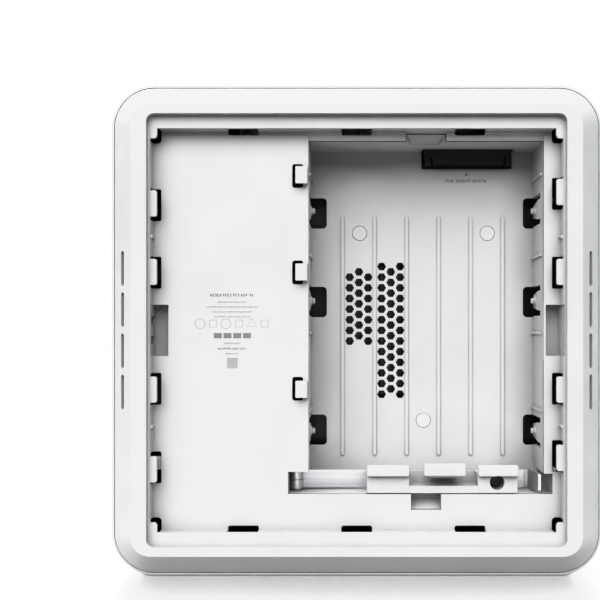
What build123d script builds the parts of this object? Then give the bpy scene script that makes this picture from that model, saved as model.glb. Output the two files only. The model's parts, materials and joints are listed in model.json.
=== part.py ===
from build123d import *
import os
from math import sqrt

# Desktop network storage unit for one 3.5 inch drive, stood on its front edge with its cover off.
# +X right, +Y from the open underside to the closed top, +Z up to the socket edge.
# Places are given as u (along X), v (along Z from mid height) and d (depth behind the rim face).

# ---- driving dimensions, mm ----
SIDE = 217.0              # width and height of the housing
THICK = 52.0              # underside rim to closed top
CORNER_R = 19.2           # outer corner radius
WALL = 2.6                # top shell wall
BEVEL = 9.0               # 45 degree bevel round the rim
RIM_HALF = 97.8           # half width of the flat rim face, outside
RECESS_U, RECESS_V, RECESS_R = 91.0, 93.8, 3.4
LEDGE_U, LEDGE_V = 89.95, 87.95
LEDGE_D = 3.0             # depth of the ledge that the cover rests on
PLATE_D = 9.0             # depth of the floor plate
PLATE_T = 2.0
SKIN = 2.0                # moulded wall of the base frame

BAY_U0, BAY_U1 = -21.3, 82.7
BAY_V0, BAY_V1 = -72.35, 83.7
BAY_FLOOR = 35.0          # depth of the bay floor
BAY_WALL = 1.8
DRIVE_U = (BAY_U0 + BAY_U1) / 2 + 0.2
DRIVE_END_V = -63.3       # lower end of a seated drive
CHANNEL_U0, CHANNEL_U1 = -30.3, 86.5
CHANNEL_V1 = -62.5
CHANNEL_D = 27.0

PEG_V = (55.2, 13.6, -46.4)   # standard side holes of a 3.5 inch drive
PEG_D = 28.65
PEG_ROOT_D = 17.5
TONGUE_W = 9.0
TONGUE_TIP = 2.9          # half width of the tongue at its tip
TONGUE_T = 1.7
SLOT_W = 13.7
TONGUE_END = BAY_FLOOR - 1.2

PIVOT_U, PIVOT_D = -27.2, 19.7
BARREL_R, PIN_R = 2.75, 1.3
ARM_T = 1.2
ARM_V0, ARM_V1 = -71.4, -63.3
ARM_BACK = PIVOT_D + BARREL_R
ARM_FRONT = ARM_BACK - ARM_T
SCREW_U, SCREW_V = 62.05, -67.2
SCREW_HEAD_D = 13.0
SHANK_R = 1.45
SCREW_HEAD_R, SCREW_HEAD_T = 2.55, 2.2
SCREW_BORE_R = 3.22       # counterbore in the carrier, and hole in the arm
THROUGH = 60.0            # depth that passes any cut right through

BOARD_FRONT = 45.6        # component side of the main board
BOARD_T = 1.6
INNER_BACK = THICK - WALL
PORT_V = SIDE / 2 - 1.0   # face line of the sockets
GAP = 0.05                # running clearance
BOSS_R, BOARD_SCREW_R, BOARD_HOLE_R = 3.2, 1.3, 1.6

MID_Z = SIDE / 2
FRONT_Y = -THICK / 2

# housing
JACK_PITCH, JACK_W, JACK_H, JACK_L = 16.0, 15.6, 11.4, 19.0
JACK_U0 = -47.0
JACK_COUNT = 6
UPLINK_U = 52.0
VIDEO_U, VIDEO_W, VIDEO_H, VIDEO_L = 70.5, 15.0, 5.9, 12.0
INLET_U, INLET_W, INLET_H, INLET_L = -78.0, 21.0, 12.0, 20.0
INLET_D = 39.0
RESET_U, RESET_D, RESET_R = 84.5, 41.0, 1.6
JACK_US = [JACK_U0 + JACK_PITCH * i for i in range(JACK_COUNT)] + [UPLINK_U]
JACK_D0 = BOARD_FRONT - JACK_H
LIGHT_W, LIGHT_T, LIGHT_D = 24.0, 2.0, 30.0
PARTING = 0.4             # width of the parting groove
LIP_R = 1.2               # rounding of the shell's lip
MAIN_SCREWS = [(-48, 62), (92, 62), (-48, -42), (92, -42), (22, 62), (22, -42)]
SUPPLY_SCREWS = [(-94, 80), (-94, 20), (-60, 20), (-60, 80)]
# Cover catches: centre heights on the left and right of the recess.
LEFT_CATCH_V = (55.3, 25.5, -25.8, -60.5)
RIGHT_CATCH_V = (60.3, 25.5, -25.8, -55.5)
CATCH_HOLE, CATCH_EAR = 14.0, 11.4
CATCH_HOLE_U, CATCH_EAR_U = 86.3, 87.05
INNER_TAB_D = 5.5
INNER_CATCH_V = (68.2, 25.6, -25.8)
END_SLOT_U = (-50.0, 0.0, 50.0)
END_SLOT_W, END_SLOT_V = 13.5, 86.25
FINGER_L = (-90.2, -83.2)
FINGER_R = (83.5, 90.4)
FINGER_HOLE_V, FINGER_HOLE_W = 4.4, 3.6
FINGER_V = 11.3
FINGER_D = 16.0
FINGER_WALL = 1.5
SIDE_SLOT_L, SIDE_SLOT_PITCH, SIDE_SLOT_W = 15.3, 18.0, 2.3
SIDE_SLOT_COUNT = 4
BAY_SCREWS = [(-27.0, 42), (-27.0, -8), (88.0, 40), (88.0, -38)]
NOTCH_U0, NOTCH_U1, NOTCH_V0 = 24.0, 37.3, -79.3

# drive bay
FLANGE = PLATE_D + PLATE_T
RIB_H = 0.8
RIB_U = [DRIVE_U + s for s in (-37.5, -22.5, -7.5, 7.5, 22.5, 37.5)]
PEG_HOLE_U = {-1: -14.1, 1: 78.1}      # inner ends of the floor holes below the pegs
PLUG_R = 3.4
PLUGS = [(1.4, 45.6), (61.3, 45.6), (31.3, -42.2)]
SATA_U0, SATA_U1, SATA_V0 = 30.4, 72.8, 75.8
HEX_PITCH = 5.0
HEX_FLAT = 3.5
HEX_COL = HEX_PITCH * sqrt(3) / 2
THUMB_U0, THUMB_U1 = 21.3, 40.1
THUMB_D0, THUMB_D1 = PLATE_D - 0.1, 17.0

# drive latch
BLOCK_L = (4.5, 23.2)
BLOCK_R = (53.5, 71.2)
LIP_V0, LIP_V1 = -64.2, -59.5
CARRIER_V0, CARRIER_V1 = -71.9, DRIVE_END_V - 0.1
LIP_D = 6.5
TAB_U0, TAB_U1 = 29.6, 47.9
TAB_V1 = -58.6
TAB_D = 6.0
TAB_V0 = -63.95
TAB_WALL_V = -64.6
TAB_T = 1.2
JOGGLE_U, JOGGLE_D = 76.0, 1.8
FLAG_U, FLAG_D = 81.4, PLATE_D + 0.2
RIVETS = [8.0, 19.7, 56.2]
RIVET_V, RIVET_R = -68.0, 0.8
FINGER_ROOT_D = ARM_FRONT - TAB_T / 2 - GAP
SCREW_TIP_D = 26.8
RING_D = 21.0

# electronics
BOARD_U0, BOARD_U1, BOARD_V0 = -56.0, 98.0, -60.0
BOARD_V1 = PORT_V - 3.0
SUPPLY_U0, SUPPLY_U1, SUPPLY_V0 = -100.0, -57.0, 2.0
SUPPLY_V1 = 92.0
CHIPS = [(60, 20, 15, 15, 1.6), (60, -10, 12, 14, 1.2), (78, -10, 12, 14, 1.2), (-30, 60, 13, 13, 1.4),
         (12, 64, 12, 12, 1.4), (70, 60, 9, 9, 1.2), (-36, 20, 10, 8, 1.3), (-36, -20, 8, 12, 1.3)]

# blower
FAN_U, FAN_V, FAN_R = -68.0, -39.0, 25.0
FAN_D0, FAN_D1 = 12.5, 27.5
FAN_EAR = 19.6
FAN_SCREWS = [(FAN_U + FAN_EAR, FAN_V + FAN_EAR), (FAN_U + FAN_EAR, FAN_V - FAN_EAR),
              (FAN_U - FAN_EAR, FAN_V - FAN_EAR)]


def at(d):
    """Work plane facing the viewer at depth d, with u along X and v along Z."""
    return Plane(origin=(0, FRONT_Y + d, MID_Z), x_dir=(1, 0, 0), z_dir=(0, -1, 0))


def slab(shape, d0, d1):
    """Flat shape given in u and v, made solid from depth d0 to depth d1."""
    return extrude(at(d1) * shape, amount=d1 - d0)


def rect(u0, u1, v0, v1, r=0.0):
    """Rectangle between two corners, with rounded corners if r is given."""
    place = Pos((u0 + u1) / 2, (v0 + v1) / 2)
    if r:
        return place * RectangleRounded(u1 - u0, v1 - v0, r)
    return place * Rectangle(u1 - u0, v1 - v0)


def block(u0, u1, v0, v1, d0, d1, r=0.0):
    return slab(rect(u0, u1, v0, v1, r), d0, d1)


def disc(u, v, radius, d0, d1):
    return slab(Pos(u, v) * Circle(radius), d0, d1)


def rod_z(u, d, radius, v0, v1):
    """Round bar along Z."""
    foot = Plane(origin=(u, FRONT_Y + d, MID_Z + v0), x_dir=(1, 0, 0), z_dir=(0, 0, 1))
    return extrude(foot * Circle(radius), amount=v1 - v0)


def profile_z(points, v0, v1):
    """Outline given in u and d, made solid along Z from v0 to v1."""
    foot = Plane(origin=(0, FRONT_Y, MID_Z + v0), x_dir=(1, 0, 0), z_dir=(0, 0, 1))
    return extrude(foot * make_face(Polyline(*points, close=True)), amount=v1 - v0)


def profile_x(points, u0, u1):
    """Outline given in v and d, made solid along X from u0 to u1."""
    foot = Plane(origin=(u0, FRONT_Y, MID_Z), x_dir=(0, 0, 1), z_dir=(1, 0, 0))
    outline = [(v, -d) for v, d in points]
    return extrude(foot * make_face(Polyline(*outline, close=True)), amount=u1 - u0)


def frustum(half, radius, d0, d1):
    """Rounded square that grows by one millimetre a side for each millimetre of depth."""
    grow = d1 - d0
    near = at(d0) * RectangleRounded(2 * half, 2 * half, radius)
    far = at(d1) * RectangleRounded(2 * (half + grow), 2 * (half + grow), radius + grow)
    return loft([near.faces()[0], far.faces()[0]])


def join(pieces):
    """Several separate solids kept together as one group."""
    return Compound(children=[solid for piece in pieces for solid in piece.solids()])


def save(shape, node):
    export_step(shape, f"parts/{node}.step")


def edges_at(shape, d, tolerance=0.02):
    """Edges that lie wholly at one depth."""
    y = FRONT_Y + d
    return shape.edges().filter_by_position(Axis.Y, y - tolerance, y + tolerance)


# ---- housing ----

def top_wall_cut(u0, u1, d0, d1, deep=WALL + 2.0):
    return block(u0, u1, SIDE / 2 - deep, SIDE / 2 + 1, d0, d1)


def make_top_shell():
    lip = BEVEL + 0.2
    outer = slab(RectangleRounded(SIDE, SIDE, CORNER_R), lip, THICK)
    outer = fillet(edges_at(outer, THICK), 5.0)
    outer = fillet(edges_at(outer, lip), LIP_R)
    inside = SIDE - 2 * WALL
    hollow = slab(RectangleRounded(inside, inside, CORNER_R - WALL), lip - 1, INNER_BACK)
    hollow = fillet(edges_at(hollow, INNER_BACK), 3.0)
    shell = outer - hollow
    # rebate that leaves a fine parting groove round the base frame
    groove = RIM_HALF + BEVEL + PARTING
    shell -= slab(RectangleRounded(2 * groove, 2 * groove, CORNER_R - (SIDE / 2 - groove)), lip - 1, lip + 0.9)
    for u, v in MAIN_SCREWS + SUPPLY_SCREWS:
        shell += disc(u, v, BOSS_R, BOARD_FRONT + BOARD_T, INNER_BACK + 0.5)
        shell -= disc(u, v, BOARD_SCREW_R, BOARD_FRONT, INNER_BACK - 0.2)
    for u in JACK_US:
        shell -= top_wall_cut(u - JACK_W / 2 - 0.2, u + JACK_W / 2 + 0.2, JACK_D0 - 0.2, BOARD_FRONT)
    shell -= top_wall_cut(VIDEO_U - VIDEO_W / 2 - 0.3, VIDEO_U + VIDEO_W / 2 + 0.3,
                          BOARD_FRONT - VIDEO_H - 0.3, BOARD_FRONT)
    shell -= top_wall_cut(INLET_U - INLET_W / 2 - 0.2, INLET_U + INLET_W / 2 + 0.2,
                          INLET_D - INLET_H / 2 - 0.2, INLET_D + INLET_H / 2 + 0.2)
    hole = Plane(origin=(RESET_U, FRONT_Y + RESET_D, SIDE + 1), z_dir=(0, 0, -1))
    shell -= extrude(hole * Circle(RESET_R + 0.15), amount=WALL + 3)
    shell -= block(-LIGHT_W / 2 - 0.1, LIGHT_W / 2 + 0.1, -SIDE / 2 - 1, -SIDE / 2 + WALL + 1,
                   LIGHT_D - LIGHT_T / 2 - 0.1, LIGHT_D + LIGHT_T / 2 + 0.1)
    return shell


def side_slot(sign, v):
    """Vent slot cut square to the bevel at half its height."""
    mid = RIM_HALF + BEVEL / 2
    plane = Plane(origin=(sign * mid, FRONT_Y + BEVEL / 2, MID_Z + v), x_dir=(0, 0, 1), z_dir=(sign, -1, 0))
    return extrude(plane * SlotOverall(SIDE_SLOT_L, SIDE_SLOT_W), amount=2 * SKIN, both=True)


def make_base_frame():
    side_top = BEVEL + 0.4
    body = frustum(RIM_HALF, CORNER_R - 1.7 - BEVEL, 0, BEVEL)
    full = 2 * (RIM_HALF + BEVEL)
    body += slab(RectangleRounded(full, full, CORNER_R - 1.7), BEVEL, side_top)
    skirt = SIDE - 2 * WALL - 0.8
    body += slab(RectangleRounded(skirt, skirt, CORNER_R - WALL - 0.4), side_top, 14.0)
    # hollow ring behind the rim and bevel, open to the inside of the housing
    slope = SKIN * (sqrt(2) - 1)
    ring = frustum(RIM_HALF - slope, CORNER_R - 1.7 - BEVEL - slope, SKIN, BEVEL)
    inner = 2 * (RIM_HALF - slope + BEVEL - SKIN)
    ring += slab(RectangleRounded(inner, inner, 14.0), BEVEL, 15.0)
    body -= ring - block(-RECESS_U - SKIN, RECESS_U + SKIN, -RECESS_V - SKIN, RECESS_V + SKIN,
                         0, PLATE_D + PLATE_T, RECESS_R + SKIN)
    body = fillet(edges_at(body, 0), 0.4)
    # stepped recess
    pocket = slab(RectangleRounded(2 * RECESS_U, 2 * RECESS_V, RECESS_R), -1, LEDGE_D)
    pocket += slab(RectangleRounded(2 * LEDGE_U, 2 * LEDGE_V, 2.4), LEDGE_D - 0.5, PLATE_D)
    body -= pocket
    # ears at ledge level and the shut-off holes round them
    thin = LEDGE_D + 1.5
    for sign, heights in ((-1, LEFT_CATCH_V), (1, RIGHT_CATCH_V)):
        for v in heights:
            u0, u1 = sorted((sign * CATCH_HOLE_U, sign * (RECESS_U + 0.6)))
            body -= block(u0, u1, v - CATCH_HOLE / 2, v + CATCH_HOLE / 2, thin, PLATE_D + 4, 0.7)
            u0, u1 = sorted((sign * CATCH_EAR_U, sign * (RECESS_U + 1.4)))
            body += block(u0, u1, v - CATCH_EAR / 2, v + CATCH_EAR / 2, LEDGE_D, thin, 0.9)
        for v in (41.0, -42.0):
            body += slab(Pos(sign * LEDGE_U, v) * Circle(0.9), LEDGE_D + 0.6, PLATE_D + 0.5)
    for side_u in (-1, 1):
        for side_v in (-1, 1):
            u0, u1 = sorted((side_u * 86.2, side_u * (LEDGE_U + 1.8)))
            v0, v1 = sorted((side_v * 82.6, side_v * (LEDGE_V + 1.8)))
            body -= block(u0, u1, v0, v1, thin, PLATE_D + 4, 1.6)
            u0, u1 = sorted((side_u * 86.9, side_u * (RECESS_U + 1.4)))
            v0, v1 = sorted((side_v * 83.6, side_v * (LEDGE_V + 1.6)))
            body += block(u0, u1, v0, v1, LEDGE_D, thin, 1.6)
    for side_v in (-1, 1):
        for u in END_SLOT_U:
            v0, v1 = sorted((side_v * END_SLOT_V, side_v * (LEDGE_V + 2.0)))
            body -= block(u - END_SLOT_W / 2, u + END_SLOT_W / 2, v0, v1, thin, PLATE_D + 4, 0.9)
    # opening for the drive bay and the latch channel
    body -= slab(bay_outline(), PLATE_D - 1, PLATE_D + 4)
    body -= slab(channel_outline(), PLATE_D - 1, PLATE_D + 4)
    body -= block(NOTCH_U0, NOTCH_U1, NOTCH_V0, BAY_V0 + 1, PLATE_D - 1, PLATE_D + 4)
    slope_end = [(LEDGE_V - 0.4, PLATE_D - 0.01), (BAY_V1 - 1, PLATE_D - 0.01), (BAY_V1 - 1, PLATE_D + 1.6)]
    body -= profile_x(slope_end, BAY_U0, BAY_U1)
    body -= thumb_notch()
    # inner catches: a post beside the bay with a tab over a hole
    for v in INNER_CATCH_V:
        body -= block(-28.4, -23.7, v - 5.2, v + 5.2, PLATE_D - 1, PLATE_D + 4, 1.0)
        body += block(-23.7, BAY_U0 - 0.4, v - 3.75, v + 3.75, INNER_TAB_D, PLATE_D + 1)
        body += block(-26.9, BAY_U0 - 0.4, v - 3.75, v + 3.75, INNER_TAB_D, INNER_TAB_D + 1.3, 0.4)
    # finger recesses
    for (u0, u1), wall in ((FINGER_L, FINGER_WALL), (FINGER_R, 0.0)):
        body += block(u0 - wall, u1 + FINGER_WALL, -FINGER_V - FINGER_WALL, FINGER_V + FINGER_WALL,
                      PLATE_D + 0.5, FINGER_D + FINGER_WALL)
        body -= block(u0, u1, -FINGER_V, FINGER_V, PLATE_D - 3.2, FINGER_D, 0.3)
    body -= block(LEDGE_U - 1, FINGER_R[1] + 0.2, -FINGER_V, FINGER_V, LEDGE_D, PLATE_D - 3.0, 0.5)
    for v in (-FINGER_HOLE_V, FINGER_HOLE_V):
        v0, v1 = v - FINGER_HOLE_W / 2, v + FINGER_HOLE_W / 2
        body -= block(FINGER_L[0] - 3, FINGER_L[0] + 0.4, v0, v1, PLATE_D - 3.2, FINGER_D - 1.5)
    for sign in (-1, 1):
        for i in range(SIDE_SLOT_COUNT):
            body -= side_slot(sign, (i - (SIDE_SLOT_COUNT - 1) / 2) * SIDE_SLOT_PITCH)
    # clips that locate the skirt in the top shell
    for turn in range(4):
        for along in (-60, 60):
            lug = block(along - 6, along + 6, skirt / 2 - 0.5, skirt / 2 + 0.4, 10.5, 13.5)
            body += lug.rotate(Axis((0, 0, MID_Z), (0, 1, 0)), 90 * turn)
    for u, v in BAY_SCREWS:
        body += disc(u, v, 2.6, PLATE_D + 1, PLATE_D + PLATE_T + 3.0)
        body -= disc(u, v, 1.0, PLATE_D + 1.2, PLATE_D + PLATE_T + 4)
    for u, v in FAN_SCREWS:
        body += disc(u, v, 3.0, PLATE_D + 1, FAN_D0)
        body -= disc(u, v, 1.2, PLATE_D + 0.8, FAN_D0 + 1)
    return body


# ---- drive bay ----

def bay_outline():
    return rect(BAY_U0, BAY_U1, BAY_V0, BAY_V1)


def channel_outline():
    left = rect(CHANNEL_U0, 0, BAY_V0, CHANNEL_V1)
    return left + rect(0, CHANNEL_U1, BAY_V0, DRIVE_END_V)


def hexagon_holes(u0, outer_v, outer_n, mid_v, mid_n):
    """Three columns of point-to-point hexagons, the middle one half a pitch off."""
    cell = RegularPolygon(HEX_FLAT / sqrt(3), 6)
    columns = [(u0, outer_v, outer_n), (u0 + HEX_COL, mid_v, mid_n), (u0 + 2 * HEX_COL, outer_v, outer_n)]
    return [Pos(u, top - HEX_PITCH * i) * cell for u, top, count in columns for i in range(count)]


def tongue_side(sign):
    return BAY_U0 if sign < 0 else BAY_U1


def thumb_notch():
    """Scoop with sloping sides at the connector end, from the cover ledge down into the bay."""
    near = at(THUMB_D0) * rect(THUMB_U0, THUMB_U1, BAY_V1 - 1, LEDGE_V - 0.1)
    far = at(THUMB_D1) * rect(THUMB_U0 + 3.0, THUMB_U1 - 3.0, BAY_V1 - 1, BAY_V1 + 0.3)
    return loft([near.faces()[0], far.faces()[0]])


def make_drive_bay():
    w = BAY_WALL
    tub = block(BAY_U0 - w, BAY_U1 + w, BAY_V0 - w, BAY_V1 + w, FLANGE, BAY_FLOOR + w, 2.0)
    tub += block(CHANNEL_U0 - w, CHANNEL_U1 + w, BAY_V0 - w, CHANNEL_V1 + w, FLANGE, CHANNEL_D + w, 1.0)
    tub += block(NOTCH_U0 - w, NOTCH_U1 + w, NOTCH_V0 - w, BAY_V0, FLANGE, 18.0 + w)
    tub += block(THUMB_U0 - w, THUMB_U1 + w, BAY_V1, LEDGE_V + w, FLANGE, THUMB_D1 + w)
    for u, v in BAY_SCREWS:
        inner = BAY_U0 - 1 if u < 0 else BAY_U1 + 1
        u0, u1 = sorted((inner, u + (4.2 if u > 0 else -4.2)))
        tub += block(u0, u1, v - 5, v + 5, FLANGE + 3.0, FLANGE + 5.0, 0.8)
        tub -= disc(u, v, 1.0, FLANGE, FLANGE + 6.0)
    tub -= slab(bay_outline(), 0, BAY_FLOOR)
    tub -= slab(channel_outline(), 0, CHANNEL_D)
    # scooped finger notch under the latch
    scoop = [(BAY_V0 + 0.5, 8), (NOTCH_V0, 8), (NOTCH_V0, 13), (BAY_V0 - 3.0, 18), (BAY_V0 + 0.5, 18)]
    tub -= profile_x(scoop, NOTCH_U0, NOTCH_U1)
    tub -= thumb_notch()
    for u in RIB_U:
        tub += block(u - 0.7, u + 0.7, -58.4, 53.4, BAY_FLOOR - RIB_H, BAY_FLOOR + 0.5, 0.6)
    for hexagon in hexagon_holes(-3.3, 25.0, 7, 27.5, 7) + hexagon_holes(11.7, 30.0, 13, 27.5, 12):
        tub -= slab(hexagon, BAY_FLOOR - 2, BAY_FLOOR + w + 1)
    for u, v in PLUGS:
        tub -= disc(u, v, PLUG_R + 0.12, BAY_FLOOR - 1, BAY_FLOOR + w + 1)
    # opening for the receptacle in the floor and the end wall
    tub -= block(SATA_U0, SATA_U1, SATA_V0, BAY_V1, BAY_FLOOR - 1, BAY_FLOOR + w + 1)
    tub -= block(SATA_U0, SATA_U1, BAY_V1 - 1, BAY_V1 + w + 1, BAY_FLOOR - 7, BAY_FLOOR + w + 1)
    # guide ribs on the side walls
    for sign in (-1, 1):
        wall = tongue_side(sign)
        for v in (69.8, 33.8, -1.1, -35.7):
            u0, u1 = sorted((wall + sign * 0.5, wall - sign * 0.8))
            tub += block(u0, u1, v - 0.7, v + 0.7, PLATE_D + 4, BAY_FLOOR + 0.5)
        for v in PEG_V:
            u0, u1 = sorted((wall + sign * (w + 1), wall - sign * 0.01))
            tub -= block(u0, u1, v - SLOT_W / 2, v + SLOT_W / 2, PEG_ROOT_D, BAY_FLOOR + w + 1)
            u0, u1 = sorted((wall + sign * 2.5, PEG_HOLE_U[sign]))
            tub -= block(u0, u1, v - SLOT_W / 2 - 0.5, v + SLOT_W / 2, BAY_FLOOR - 1, BAY_FLOOR + w + 1, 1.9)
            # bar over the slot that the tongue hangs from
            u0, u1 = sorted((wall + sign * w, wall + sign * (w + 2.2)))
            tub += block(u0, u1, v - 5.4, v + 5.4, PEG_ROOT_D - 4, PEG_ROOT_D)
    # room for the right finger recess
    tub -= block(FINGER_R[0], FINGER_R[1], -FINGER_V - FINGER_WALL, FINGER_V + FINGER_WALL,
                 0, FINGER_D + FINGER_WALL)
    # boss for the latch screw and walls that carry the hinge pin
    boss = disc(SCREW_U, SCREW_V, 4.2, ARM_BACK + 0.15, BAY_FLOOR + 0.5)
    tub += boss - disc(SCREW_U, SCREW_V, 1.9, 0, BAY_FLOOR - 2)
    tub -= rod_z(PIVOT_U, PIVOT_D, PIN_R + 0.02, BAY_V0 - w - 1, CHANNEL_V1 + w + 1)
    return tub


def make_floor_plugs():
    plugs = []
    for u, v in PLUGS:
        plug = disc(u, v, PLUG_R, BAY_FLOOR, BAY_FLOOR + BAY_WALL)
        plug = fillet(edges_at(plug, BAY_FLOOR), 0.25)
        plugs.append(plug + disc(u, v, PLUG_R + 1.4, BAY_FLOOR + BAY_WALL, BAY_FLOOR + BAY_WALL + 0.8))
    return join(plugs)


def make_peg_tongue(sign, v):
    """Sprung tongue that hangs beside the bay wall, with a round peg that enters the drive's side."""
    wall = tongue_side(sign)
    root = PEG_ROOT_D + TONGUE_T / 2 + GAP
    mid = wall + sign * TONGUE_T / 2
    u0, u1 = sorted((wall, wall + sign * TONGUE_T))
    half = TONGUE_W / 2
    outline = [(v - half, root), (v + half, root), (v + half, root + 4.0), (v + TONGUE_TIP, TONGUE_END),
               (v - TONGUE_TIP, TONGUE_END), (v - half, root + 4.0)]
    tongue = profile_x(outline, u0, u1)
    tongue += rod_z(mid, root, TONGUE_T / 2, v - TONGUE_W / 2, v + TONGUE_W / 2)
    face = Plane(origin=(wall + sign * 0.5, FRONT_Y + PEG_D, MID_Z + v), z_dir=(-sign, 0, 0))
    peg = extrude(face * Circle(1.45), amount=2.6)
    peg = fillet(peg.edges().sort_by(lambda e: sign * e.center().X)[0], 0.7)
    return tongue + peg + peg_collar(sign, v, wall)


def peg_collar(sign, v, wall):
    face = Plane(origin=(wall + sign * 0.5, FRONT_Y + PEG_D, MID_Z + v), z_dir=(-sign, 0, 0))
    return extrude(face * Circle(2.6), amount=1.1, taper=25)


def make_sata_receptacle():
    """Drive connector: a long body with an L-shaped data tongue, a power tongue and two guide posts."""
    u0, u1 = SATA_U0 + 1.2, SATA_U1 - 1.2
    d0, d1 = BAY_FLOOR - 6.4, BAY_FLOOR - 0.9
    v0 = SATA_V0 + 0.8
    body = block(u0, u1, v0 + 3.6, BAY_V1 + 5.0, d0, d1, 0.5)
    body += block(u0 + 3.6, u1 - 3.6, v0 + 0.4, v0 + 4.0, d0, d1, 0.4)
    body -= block(u0 + 4.6, u1 - 4.6, v0 - 0.4, v0 + 3.4, d0 + 1.2, d1 - 1.2)
    for u in (u0 + 1.4, u1 - 1.4):
        body += block(u - 1.2, u + 1.2, v0, v0 + 4.0, d0 + 0.8, d1 - 0.8)
    body += block(u0 + 6.0, u0 + 27.0, v0 + 0.8, v0 + 3.6, d0 + 2.2, d0 + 3.3)
    body += block(u0 + 30.0, u1 - 6.0, v0 + 0.8, v0 + 3.6, d0 + 2.2, d0 + 3.3)
    return body


def make_sata_contacts():
    u0 = SATA_U0 + 1.2 + 6.8
    d0 = BAY_FLOOR - 6.4 + 3.3
    v0 = SATA_V0 + 0.8
    pins = []
    for i in range(15):
        pins.append(block(u0 + 1.27 * i, u0 + 1.27 * i + 0.7, v0 + 1.0, v0 + 3.4, d0, d0 + 0.2))
    return join(pins)


def make_drive_board():
    """Small board behind the end of the bay that carries the receptacle."""
    v0 = BAY_V1 + 5.0
    return block(SATA_U0 - 4, SATA_U1 + 4, v0, v0 + BOARD_T, 22.0, BOARD_FRONT - JACK_H - 1.0)


# ---- drive latch ----

def make_latch_arm():
    """Folded steel strip with a rolled barrel, a joggle and an upturned end flag."""
    barrel = rod_z(PIVOT_U, PIVOT_D, BARREL_R, ARM_V0, ARM_V1)
    strip = block(PIVOT_U, JOGGLE_U, ARM_V0, ARM_V1, ARM_FRONT, ARM_BACK)
    low = ARM_FRONT + JOGGLE_D
    flag = [(JOGGLE_U - 0.8, ARM_BACK), (JOGGLE_U - 0.8, ARM_FRONT), (JOGGLE_U, ARM_FRONT),
            (JOGGLE_U + 0.6, low), (JOGGLE_U + 2.0, low), (FLAG_U - ARM_T, FLAG_D), (FLAG_U, FLAG_D),
            (JOGGLE_U + 3.1, low + ARM_T), (JOGGLE_U - 0.1, low + ARM_T), (JOGGLE_U - 0.5, ARM_BACK)]
    flag = profile_z(flag, ARM_V0, ARM_V1)
    corners = edges_at(flag, FLAG_D).filter_by(Axis.X)
    arm = barrel + strip + fillet(corners, 1.6)
    arm -= rod_z(PIVOT_U, PIVOT_D, PIN_R + GAP, ARM_V0 - 1, ARM_V1 + 1)
    arm -= block(PIVOT_U - 4, PIVOT_U + 3.6, -67.5, -67.2, 0, ARM_BACK + 1)
    arm -= disc(SCREW_U, SCREW_V, SCREW_BORE_R, 0, THROUGH)
    for u in RIVETS:
        arm -= disc(u, RIVET_V, RIVET_R, 0, THROUGH)
    return arm


def make_latch_pin():
    return rod_z(PIVOT_U, PIVOT_D, PIN_R, BAY_V0 - BAY_WALL, CHANNEL_V1 + BAY_WALL)


def make_latch_carrier():
    """Plastic carrier on the arm: two blocks with lips over the drive's end, joined by a bar."""
    v0 = CARRIER_V0
    parts = []
    for u0, u1 in (BLOCK_L, BLOCK_R):
        shape = block(u0, u1, v0, CARRIER_V1, PLATE_D, ARM_FRONT)
        shape = fillet(edges_at(shape, PLATE_D), 0.3)
        lip = block(u0, u1, LIP_V0, LIP_V1, LIP_D, PLATE_D + 0.6, 0.7)
        parts.append(shape + fillet(edges_at(lip, LIP_D), 0.4))
    carrier = parts[0] + parts[1]
    # bar and tray floor that join the blocks
    carrier += block(BLOCK_L[1] - 1, BLOCK_R[0] + 1, v0, v0 + 3.2, PLATE_D + 0.2, ARM_FRONT)
    carrier += block(BLOCK_L[1] - 1, BLOCK_R[0] + 1, v0, CARRIER_V1, ARM_FRONT - 1.5, ARM_FRONT)
    carrier -= block(TAB_U0 + 1.6, TAB_U1 - 1.6, TAB_WALL_V - 0.7, CARRIER_V1, ARM_FRONT - 1.5, ARM_FRONT)
    carrier -= disc(SCREW_U, SCREW_V, SCREW_BORE_R, 0, SCREW_HEAD_D + SCREW_HEAD_T)
    carrier -= disc(SCREW_U, SCREW_V, SHANK_R + 0.3, 0, THROUGH)
    carrier -= disc(SCREW_U, SCREW_V, SCREW_BORE_R, SCREW_HEAD_D + SCREW_HEAD_T + 1.4, THROUGH)
    for u in RIVETS:
        carrier += disc(u, RIVET_V, RIVET_R, ARM_FRONT - 0.5, ARM_BACK)
    return carrier


def make_clamp_finger():
    """Sprung finger between the blocks that bears on the end of the drive."""
    v1 = TAB_WALL_V + TAB_T
    finger = block(TAB_U0 + 2.0, TAB_U1 - 2.0, TAB_WALL_V, v1, TAB_D + 1.0, FINGER_ROOT_D)
    lip = block(TAB_U0, TAB_U1, TAB_V0, TAB_V1, TAB_D, TAB_D + 2.0, 0.7)
    finger += fillet(edges_at(lip, TAB_D), 0.4)
    root = Plane(origin=(TAB_U0 + 2.0, FRONT_Y + FINGER_ROOT_D, MID_Z + TAB_WALL_V + TAB_T / 2),
                 x_dir=(0, 0, 1), z_dir=(1, 0, 0))
    return finger + extrude(root * Circle(TAB_T / 2), amount=TAB_U1 - TAB_U0 - 4.0)


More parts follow.
